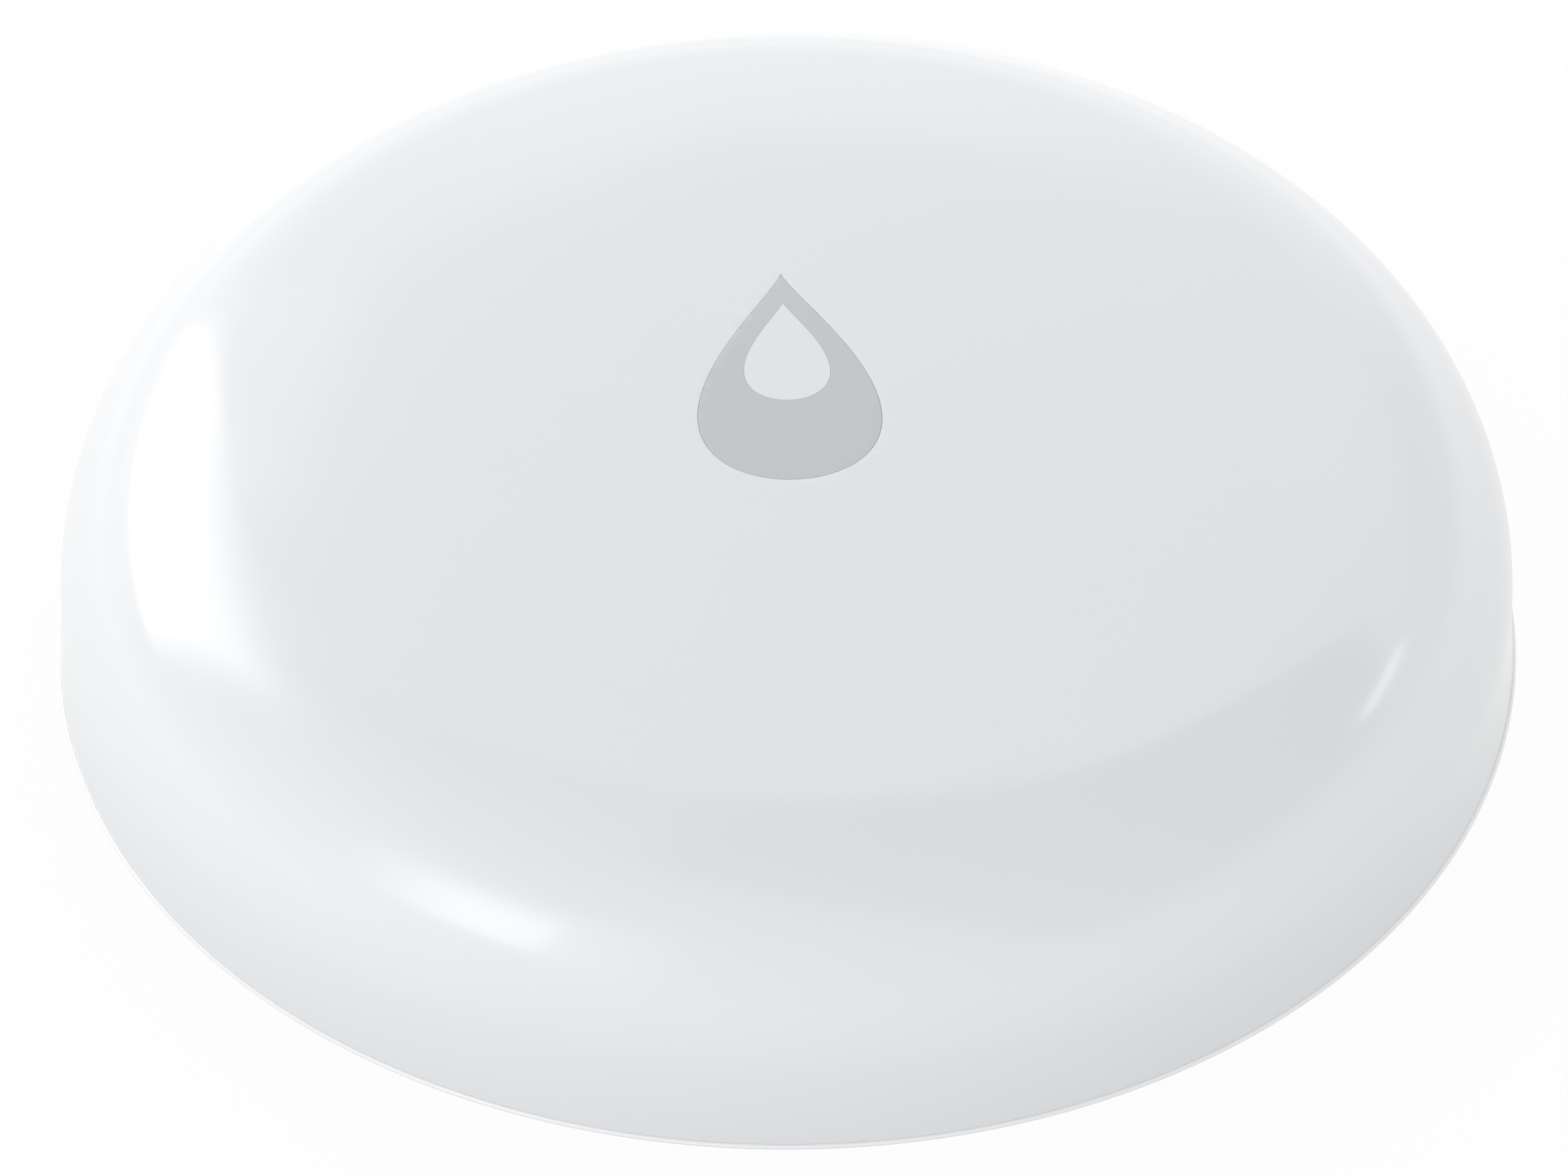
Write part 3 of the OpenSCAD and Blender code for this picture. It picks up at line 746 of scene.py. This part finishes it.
@dataclass
class Base:
    """The base housing: dished underside, lip, spigot, threaded battery bore, feet and probe seats."""

    form: CaseForm
    dish_r: float = 6.0
    dish_start: float = 20.467
    dish_steps: int = 20
    lip_flat: float = 0.1
    lip_steps: int = 12
    spigot: tuple[float, float] = (21.15, 22.95)
    spigot_top: float = 6.15
    groove_r: float = 21.91
    groove: tuple[float, float] = (3.8, 5.2)
    floor_z: float = 2.4
    collar_r: float = 14.6
    collar_top: float = 4.95
    mouth_edge: float = 0.2
    foot: tuple[float, float] = (18.167, 20.167)
    foot_angle: float = math.radians(50)
    foot_steps: int = 32
    foot_edge: float = 0.3
    foot_count: int = 4
    ridge_r: float = 11.6
    ridge_angle: float = math.radians(74.57)
    ridge_low: float = 3.15
    ridge_high: float = 4.95
    ridges: int = 3
    seat_r: float = 3.0
    seat_steps: int = 64
    seal_r: float = 2.09
    seal_top: float = 2.2
    hole_r: float = 1.35
    boss_r: float = 3.575
    boss_top: float = 3.6
    post_r: float = 1.8
    post_top: float = 8.23
    pin_r: float = 0.8
    pin_top: float = 9.03
    post_steps: int = 32
    post_degrees: int = 60
    rib_t: float = 1.0
    rib_top: float = 3.9
    rib_degrees: int = 30

    @property
    def root_z(self) -> float:
        """Height in the floor's middle, where feet, bosses and ribs begin."""
        return (self.form.under_z + self.floor_z) / 2

    def make(self) -> None:
        """Builds and dresses the base."""
        base = self.section().lathe(self.form.steps)
        mouths = [(self.form.bore_r, self.form.under_z), (self.spigot[1], self.spigot_top)]
        soften(base, mouths, self.mouth_edge)
        for part in (self.feet(), self.thread(), self.bosses(), self.ribs()):
            base = join(base, part, Join.ADD)
        base = join(base, self.probe_seats(), Join.CUT)
        add_piece("base_case", base, SATIN_ABS, "case", ["base_housing"])

    def section(self) -> Pen:
        """Draws the closed section, from the bore along the underside and back over the inside."""
        form = self.form
        low, high = form.lip_low, form.lip_top
        lip_r = (high - low) / 2
        pen = Pen(form.bore_r, form.under_z).line((self.dish_start, form.under_z))
        end_r = form.rim_r - lip_r - self.lip_flat
        dish_turn = math.asin((end_r - self.dish_start) / self.dish_r)
        pen.arc((self.dish_start, form.under_z + self.dish_r), -dish_turn, self.dish_steps)
        pen.line((form.rim_r - lip_r, low))
        pen.arc((form.rim_r - lip_r, low + lip_r), -TURN / 2, self.lip_steps)
        inner, outer = self.spigot
        groove_low, groove_high = self.groove
        pen.line((outer, high), (outer, groove_low), (self.groove_r, groove_low))
        pen.line((self.groove_r, groove_high), (outer, groove_high), (outer, self.spigot_top))
        pen.line((inner, self.spigot_top), (inner, self.floor_z), (self.collar_r, self.floor_z))
        pen.line((self.collar_r, self.collar_top), (form.bore_r, self.collar_top))
        return pen.close()

    def feet(self) -> BMesh:
        """Makes the curved feet with rounded edges."""
        inner, outer = self.foot
        pen = Pen(inner, 0).line((outer, 0), (outer, self.root_z), (inner, self.root_z)).close()
        foot = pen.sweep(self.foot_angle, self.foot_steps)
        edges = [
            edge
            for edge in foot.edges
            if edge.calc_face_angle(0.0) > SMOOTH_BELOW and min(vert.co.z for vert in edge.verts) < WELD
        ]
        round_edges(foot, edges, self.foot_edge, segments=4)
        return place(foot, *around(self.foot_count, 0.5))

    def thread(self) -> BMesh:
        """Makes the stretches of thread in the battery bore, which reach into the collar."""
        outer = self.form.bore_r + (self.collar_r - self.form.bore_r) / 4
        height = self.ridge_high - self.ridge_low
        bar = self.form.thread_bar(self.ridge_r, outer, self.ridge_angle, self.ridge_low, height)
        return place(bar, *around(self.ridges, 0.5))

    def bosses(self) -> BMesh:
        """Makes the probe bosses and the posts with their pins."""
        sides = self.form.probe_places
        bosses = place(cylinder(self.boss_r, self.root_z, self.boss_top), *sides)
        post = Pen(0, self.root_z).line((self.post_r, self.root_z), (self.post_r, self.post_top))
        post.line((self.pin_r, self.post_top), (self.pin_r, self.pin_top), (0, self.pin_top))
        turn = Matrix.Rotation(math.radians(self.post_degrees), 4, "Z")
        posts = place(post.lathe(self.post_steps), *[turn @ side for side in sides])
        return join(bosses, posts, Join.ADD)

    def ribs(self) -> BMesh:
        """Makes the ribs between the collar and the spigot, clear of the bosses and the posts."""
        inner = self.collar_r - self.rib_t / 2
        outer = self.spigot[0] + self.rib_t / 2
        rib = bmesh.new()
        bmesh.ops.create_cube(rib, size=1.0)
        size = Vector((outer - inner, self.rib_t, self.rib_top - self.root_z))
        middle = Vector(((inner + outer) / 2, 0, (self.root_z + self.rib_top) / 2))
        bmesh.ops.scale(rib, vec=size, verts=rib.verts)
        bmesh.ops.translate(rib, verts=rib.verts, vec=middle)
        taken = (0, self.post_degrees)
        turns = [turn for turn in range(0, 360, self.rib_degrees) if turn % 180 not in taken]
        return place(rib, *[Matrix.Rotation(math.radians(turn), 4, "Z") for turn in turns])

    def probe_seats(self) -> BMesh:
        """Makes the cutter for the seats of the probe heads, with a chamfer at each mouth."""
        form = self.form
        edge = self.mouth_edge
        low = form.under_z - PAST
        pen = Pen(0, low).line((self.seat_r + edge, low), (self.seat_r + edge, form.under_z))
        pen.line((self.seat_r, form.under_z + edge), (self.seat_r, form.probe_seat))
        pen.line((self.seal_r, form.probe_seat), (self.seal_r, self.seal_top))
        pen.line((self.hole_r, self.seal_top), (self.hole_r, form.height), (0, form.height))
        return place(pen.lathe(self.seat_steps), *form.probe_places)


@dataclass
class BatteryDoor:
    """The round battery door with its coin slot, seal groove, skirt and thread lugs."""

    form: CaseForm
    door_r: float = 12.7
    inside_z: float = 2.4
    edge_top: float = 3.0
    groove_r: float = 11.86
    groove: tuple[float, float] = (1.25, 2.55)
    skirt: tuple[float, float] = (10.3, 11.3)
    skirt_top: float = 4.85
    edge: float = 0.2
    lug_angle: float = math.radians(30)
    lug_low: float = 3.45
    lug_high: float = 4.65
    lugs: int = 3
    slot_length: float = 14.0
    slot_width: float = 1.8
    slot_depth: float = 0.8
    slot_edge: float = 0.15
    slot_steps: int = 32

    def make(self) -> None:
        """Builds and dresses the door."""
        form = self.form
        low, high = self.groove
        inner, outer = self.skirt
        pen = Pen(0, form.under_z).line((self.door_r, form.under_z), (self.door_r, low))
        pen.line((self.groove_r, low), (self.groove_r, high), (self.door_r, high))
        pen.line((self.door_r, self.edge_top), (outer, self.edge_top), (outer, self.skirt_top))
        pen.line((inner, self.skirt_top), (inner, self.inside_z), (0, self.inside_z))
        door = pen.lathe(form.steps)
        corners = [(self.door_r, form.under_z), (inner, self.skirt_top), (outer, self.skirt_top)]
        soften(door, corners, self.edge)
        lug_root = outer - (outer - inner) / 4
        lug_height = self.lug_high - self.lug_low
        lug = form.thread_bar(lug_root, self.door_r, self.lug_angle, self.lug_low, lug_height)
        door = join(door, place(lug, *around(self.lugs)), Join.ADD)
        door = join(door, self.coin_slot(), Join.CUT)
        add_piece("battery_cover", door, SATIN_ABS, "door", ["battery_door"])

    def coin_slot(self) -> BMesh:
        """Makes the cutter for the slot: a long round-ended bar that flares at the mouth."""
        under = self.form.under_z
        straight = (self.slot_length - self.slot_width) / 2
        half = self.slot_width / 2
        edge = self.slot_edge
        levels = ((-PAST, edge), (0.0, edge), (edge, 0.0), (self.slot_depth, 0.0))
        mesh = bmesh.new()
        loops = []
        for rise, grow in levels:
            made = bmesh.ops.create_circle(
                mesh, cap_ends=False, radius=half + grow, segments=self.slot_steps
            )
            loop = made["verts"]
            for vert in loop:
                vert.co.x += math.copysign(straight, vert.co.x)
                vert.co.z = under + rise
            loops.append(list(loop))
        for lower, upper in zip(loops, loops[1:]):
            bmesh.ops.bridge_loops(mesh, edges=loop_edges(lower) + loop_edges(upper))
        for end in (loops[0], loops[-1]):
            bmesh.ops.edgeloop_fill(mesh, edges=loop_edges(end))
        return tidy(mesh)


@dataclass
class Probes:
    """The two steel screws whose heads sense water."""

    form: CaseForm
    head_r: float = 2.7
    head_low: float = 0.3
    head_edge: float = 0.3
    shank_r: float = 1.25
    top: float = 11.23
    recess_length: float = 2.6
    recess_width: float = 0.6
    recess_depth: float = 0.6
    recess_taper: float = 0.8
    steps: int = 64

    def make(self) -> None:
        """Builds and dresses both screws."""
        form = self.form
        pen = Pen(0, self.head_low).line((self.head_r, self.head_low), (self.head_r, form.probe_seat))
        pen.line((self.shank_r, form.probe_seat), (self.shank_r, self.top), (0, self.top))
        screw = pen.lathe(self.steps)
        soften(screw, [(self.head_r, self.head_low)], self.head_edge, segments=5)
        for turn in (0, TURN / 4):
            screw = join(screw, place(self.bar(), Matrix.Rotation(turn, 4, "Z")), Join.CUT)
        pair = place(screw, *form.probe_places)
        add_piece("probe_pair", pair, STAINLESS, "case", ["probe_screws"])

    def bar(self) -> BMesh:
        """Makes the cutter for one arm of the cross recess, which narrows inwards."""
        mesh = bmesh.new()
        bmesh.ops.create_cube(mesh, size=1.0)
        depth = 2 * self.recess_depth
        bmesh.ops.scale(mesh, vec=(self.recess_length, self.recess_width, depth), verts=mesh.verts)
        bmesh.ops.translate(mesh, verts=mesh.verts, vec=(0, 0, self.head_low))
        ends = [vert for vert in mesh.verts if vert.co.z > self.head_low]
        bmesh.ops.scale(mesh, vec=(self.recess_taper, self.recess_taper, 1), verts=ends)
        return mesh


class Inside:
    """The pieces whose CAD shape is right, which only get their finishes."""

    FINISHES = {
        "case_seal": RUBBER,
        "door_seal": RUBBER,
        "probe_seals": RUBBER,
        "key_membrane": SILICONE,
        "membrane_ring": NYLON,
        "switch_body": BLACK_PLASTIC,
        "switch_cover": NICKEL_STEEL,
        "switch_stem": NYLON,
        "switch_terminals": NICKEL_STEEL,
        "circuit_board": LAMINATE,
        "radio_chip": BLACK_PLASTIC,
        "crystal": NICKEL_STEEL,
        "indicator_light": NYLON,
        "passive_parts": CERAMIC,
        "antenna": GILT_COPPER,
        "cell_can": CELL_STEEL,
        "cell_gasket": BLACK_PLASTIC,
        "cell_cap": CELL_STEEL,
        "cell_core": CELL_MIX,
        "battery_cradle": NYLON,
        "positive_contacts": BRONZE,
        "negative_contact": BRONZE,
        "probe_spacers": BRONZE,
        "threaded_inserts": BRONZE,
    }

    def dress(self) -> None:
        """Gives each of these CAD nodes its finish."""
        for name, finish in self.FINISHES.items():
            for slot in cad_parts[name].material_slots:
                slot.material = finish.material()
            LOG.info("%s: %s", name, finish.name)


# The studio


@dataclass(frozen=True)
class Card:
    """A card that shows only in gloss: its direction and size as angles, and its brightness.

    The edges fade over shares of half the size: left, right, low and top, as seen from the object.
    """

    name: str
    azimuth: float
    elevation: float
    width: float
    height: float
    strength: float
    soft: tuple[float, float, float, float]
    distance: float = 0.6

    def make(self) -> None:
        """Sets the card up, facing the object."""
        turn = math.radians(self.azimuth)
        lift = math.radians(self.elevation)
        away = Vector((math.sin(turn) * math.cos(lift), math.cos(turn) * math.cos(lift), math.sin(lift)))
        mesh = bmesh.new()
        bmesh.ops.create_grid(mesh, x_segments=1, y_segments=1, size=1.0)
        data = bpy.data.meshes.new(self.name)
        mesh.to_mesh(data)
        mesh.free()
        card = bpy.data.objects.new(self.name, data)
        bpy.context.scene.collection.objects.link(card)
        card.location = away * self.distance
        card.rotation_mode = "QUATERNION"
        card.rotation_quaternion = (-away).to_track_quat("Z", "Y")
        half = [self.distance * math.tan(math.radians(angle) / 2) for angle in (self.width, self.height)]
        card.scale = (half[0], half[1], 1)
        data.materials.append(self.material())
        card.visible_camera = False
        card.visible_diffuse = False
        card.visible_shadow = False

    def material(self) -> bpy.types.Material:
        """Makes the glow, which fades out towards the card's edges."""
        made = bpy.data.materials.new(self.name)
        made.use_nodes = True
        tree = made.node_tree
        tree.nodes.clear()
        spot = add_node(tree, "ShaderNodeTexCoord", {}).outputs["Object"]
        apart = add_node(tree, "ShaderNodeSeparateXYZ", {0: spot}).outputs
        edges = ((0, -1), (0, 1), (1, -1), (1, 1))
        shown = 1.0
        for (axis, side), soft in zip(edges, self.soft):
            fade = add_node(
                tree,
                "ShaderNodeMapRange",
                {"Value": apart[axis], 1: side, 2: side * (1 - soft), 3: 0.0, 4: 1.0},
                interpolation_type="SMOOTHSTEP",
            ).outputs[0]
            shown = add_node(tree, "ShaderNodeMath", {0: fade, 1: shown}, operation="MULTIPLY").outputs[0]
        light = add_node(tree, "ShaderNodeEmission", {"Strength": self.strength}).outputs[0]
        clear = add_node(tree, "ShaderNodeBsdfTransparent", {}).outputs[0]
        mixed = add_node(tree, "ShaderNodeMixShader", {0: shown, 1: clear, 2: light}).outputs[0]
        add_node(tree, "ShaderNodeOutputMaterial", {"Surface": mixed})
        return made


@dataclass
class Studio:
    """Camera, soft room light, reflected cards and a white floor.

    The room's light leans to one side and dips overhead and below. In reflections, the floor's gleam
    grows with the distance from the object and leans too. The shade is the share of light that comes up
    through the floor. It grows with the distance from the base and has its own level under it.
    """

    elevation: float = 42.015
    azimuth: float = -2.4
    aim: tuple[float, float] = (-0.092, 5.441)
    distance: float = 400.0
    lens: float = 263.74
    sensor: float = 36.0
    clip: tuple[float, float] = (10.0, 20000.0)
    room_level: float = 1.205
    room_lean: tuple[float, float, float] = (-0.2, 0.03, 0.0)
    room_dip: float = 0.4
    floor_half: float = 3.0
    floor_drop: float = 0.02
    floor_glow: float = 0.93
    paper: float = 0.95
    gleam_reach: tuple[float, float] = (25.0, 70.0)
    gleam: tuple[float, float] = (0.92, 1.4)
    gleam_lean: tuple[float, float, float] = (-0.2, 0.2, 0.0)
    shade_reach: tuple[float, float] = (25.0, 32.5)
    shade: tuple[float, float] = (0.05, 1.0)
    shade_under: float = 0.85
    # Name, azimuth, elevation, width, height, strength, soft edges, and a distance for those behind others
    cards: tuple[Card, ...] = (
        Card("window_card", -50, 27.75, 46, 41.5, 4.5, (0.45, 0.12, 0.08, 0.7)),
        Card("halo_card", -44, 34, 70, 44, 2.2, (0.5, 0.4, 0.4, 1.0), 0.65),
        Card("front_card", -128, 20, 32, 24, 4.3, (0.12, 1.3, 0.25, 0.85)),
        Card("glow_card", -136, 18, 58, 38, 1.8, (0.6, 0.6, 0.5, 0.6), 0.65),
        Card("slit_card", 80, 16, 15, 4, 4.0, (0.4, 0.4, 0.4, 0.4)),
        Card("ceiling_card", 22, 54, 110, 58, 1.35, (0.5, 0.5, 0.02, 0.5)),
        Card("back_card", -15, 18, 110, 44, 1.9, (0.6, 0.9, 0.1, 0.8), 0.7),
        Card("dark_card", 113, 53, 82, 94, 0.4, (0.25, 0.3, 0.3, 0.25)),
    )

    def set_up(self) -> None:
        """Builds the whole studio."""
        self.camera()
        self.room()
        self.floor()
        for card in self.cards:
            card.make()

    def camera(self) -> None:
        """Puts the camera at the photograph's place."""
        turn = math.radians(self.azimuth)
        lift = math.radians(self.elevation)
        right = Vector((math.cos(turn), math.sin(turn), 0))
        ahead = Vector((-math.sin(turn), math.cos(turn), 0))
        look = ahead * math.cos(lift) - Vector((0, 0, math.sin(lift)))
        target = right * self.aim[0] + ahead * self.aim[1]
        data = bpy.data.cameras.new("camera")
        data.lens = self.lens
        data.sensor_width = self.sensor
        data.clip_start, data.clip_end = [reach * MM for reach in self.clip]
        camera = bpy.data.objects.new("camera", data)
        bpy.context.scene.collection.objects.link(camera)
        camera.location = (target - look * self.distance) * MM
        camera.rotation_mode = "QUATERNION"
        camera.rotation_quaternion = look.to_track_quat("-Z", "Y")
        bpy.context.scene.camera = camera
        bpy.context.scene.view_settings.view_transform = "Standard"

    def room(self) -> None:
        """Lights the object from all round, most from level with it and a little more from the left."""
        world = bpy.data.worlds.new("room")
        world.use_nodes = True
        bpy.context.scene.world = world
        tree = world.node_tree
        tree.nodes.clear()
        toward = add_node(tree, "ShaderNodeTexCoord", {}).outputs["Generated"]
        level = add_node(
            tree, "ShaderNodeVectorMath", {0: toward, 1: self.room_lean}, operation="DOT_PRODUCT"
        ).outputs["Value"]
        level = add_node(tree, "ShaderNodeMath", {0: level, 1: self.room_level}, operation="ADD").outputs[0]
        rise = add_node(tree, "ShaderNodeSeparateXYZ", {0: toward}).outputs[2]
        rise = add_node(tree, "ShaderNodeMath", {0: rise, 1: rise}, operation="MULTIPLY").outputs[0]
        level = add_node(
            tree, "ShaderNodeMath", {0: rise, 1: -self.room_dip, 2: level}, operation="MULTIPLY_ADD"
        ).outputs[0]
        lit = add_node(tree, "ShaderNodeBackground", {"Color": (1, 1, 1, 1), "Strength": level}).outputs[0]
        add_node(tree, "ShaderNodeOutputWorld", {"Surface": lit})

    def floor(self) -> None:
        """Lays a white floor under the object."""
        mesh = bmesh.new()
        bmesh.ops.create_grid(mesh, x_segments=1, y_segments=1, size=self.floor_half)
        data = bpy.data.meshes.new("floor")
        mesh.to_mesh(data)
        mesh.free()
        floor = bpy.data.objects.new("floor", data)
        bpy.context.scene.collection.objects.link(floor)
        floor.location.z = -self.floor_drop * MM
        data.materials.append(self.floor_material())

    def floor_material(self) -> bpy.types.Material:
        """Makes the floor's material: white to the camera, a gleam in gloss and elsewhere a pane tinted
        with painted shade round the base.
        """
        made = bpy.data.materials.new("white_floor")
        made.use_nodes = True
        tree = made.node_tree
        tree.nodes.clear()
        path = add_node(tree, "ShaderNodeLightPath", {}).outputs
        spot = add_node(tree, "ShaderNodeTexCoord", {}).outputs["Object"]
        far = add_node(tree, "ShaderNodeVectorMath", {0: spot}, operation="LENGTH").outputs["Value"]
        near, wide = [reach * MM for reach in self.gleam_reach]
        side = add_node(tree, "ShaderNodeVectorMath", {0: spot}, operation="NORMALIZE").outputs[0]
        lean = add_node(
            tree, "ShaderNodeVectorMath", {0: side, 1: self.gleam_lean}, operation="DOT_PRODUCT"
        ).outputs["Value"]
        most = add_node(tree, "ShaderNodeMath", {0: lean, 1: self.gleam[1]}, operation="ADD").outputs[0]
        gleam = add_node(
            tree, "ShaderNodeMapRange", {"Value": far, 1: near, 2: wide, 3: self.gleam[0], 4: most}
        ).outputs[0]
        near, wide = [reach * MM for reach in self.shade_reach]
        shade = add_node(
            tree, "ShaderNodeMapRange", {"Value": far, 1: near, 2: wide, 3: self.shade[0], 4: self.shade[1]}
        ).outputs[0]
        under = add_node(tree, "ShaderNodeMath", {0: far, 1: near}, operation="LESS_THAN").outputs[0]
        shade = add_node(tree, "ShaderNodeMix", {0: under, 2: shade, 3: self.shade_under}).outputs[0]
        level = add_node(tree, "ShaderNodeMix", {0: path["Is Glossy Ray"], 2: 1.0, 3: gleam}).outputs[0]
        grey = (self.paper, self.paper, self.paper, 1)
        paper = add_node(tree, "ShaderNodeBsdfDiffuse", {"Color": grey}).outputs[0]
        glow = add_node(tree, "ShaderNodeEmission", {"Strength": level}).outputs[0]
        white = add_node(tree, "ShaderNodeMixShader", {0: self.floor_glow, 1: paper, 2: glow}).outputs[0]
        behind = add_node(tree, "ShaderNodeNewGeometry", {}).outputs["Backfacing"]
        # Painted shade: the pane darkens the light from below in a ring round the base, in place of the
        # object's shadow on the floor; seen from behind it stays clear
        shade_tint = add_node(tree, "ShaderNodeMath", {0: shade, 1: behind}, operation="MAXIMUM").outputs[0]
        clear = add_node(tree, "ShaderNodeBsdfTransparent", {"Color": shade_tint}).outputs[0]
        shown = path["Is Camera Ray"]
        for kind in ("Is Glossy Ray", "Is Transmission Ray"):
            shown = add_node(
                tree, "ShaderNodeMath", {0: shown, 1: path[kind]}, operation="MAXIMUM"
            ).outputs[0]
        front = add_node(tree, "ShaderNodeMath", {0: 1.0, 1: behind}, operation="SUBTRACT").outputs[0]
        shown = add_node(tree, "ShaderNodeMath", {0: shown, 1: front}, operation="MULTIPLY").outputs[0]
        mixed = add_node(tree, "ShaderNodeMixShader", {0: shown, 1: clear, 2: white}).outputs[0]
        add_node(tree, "ShaderNodeOutputMaterial", {"Surface": mixed})
        return made


def main() -> None:
    """Builds the sensor's pieces in order, in the studio."""
    logging.basicConfig(level=logging.INFO, format="%(message)s")
    form = CaseForm()
    drop = DropShape(width=6.15, height=10.45, middle_y=-0.4)
    inner_drop = DropShape(width=2.9, height=5.05, middle_y=0.75)
    Studio().set_up()
    UpperCase(form, drop).make()
    Key(form, drop, inner_drop).make()
    Base(form).make()
    BatteryDoor(form).make()
    Probes(form).make()
    Inside().dress()


if __name__ == "__main__":
    main()
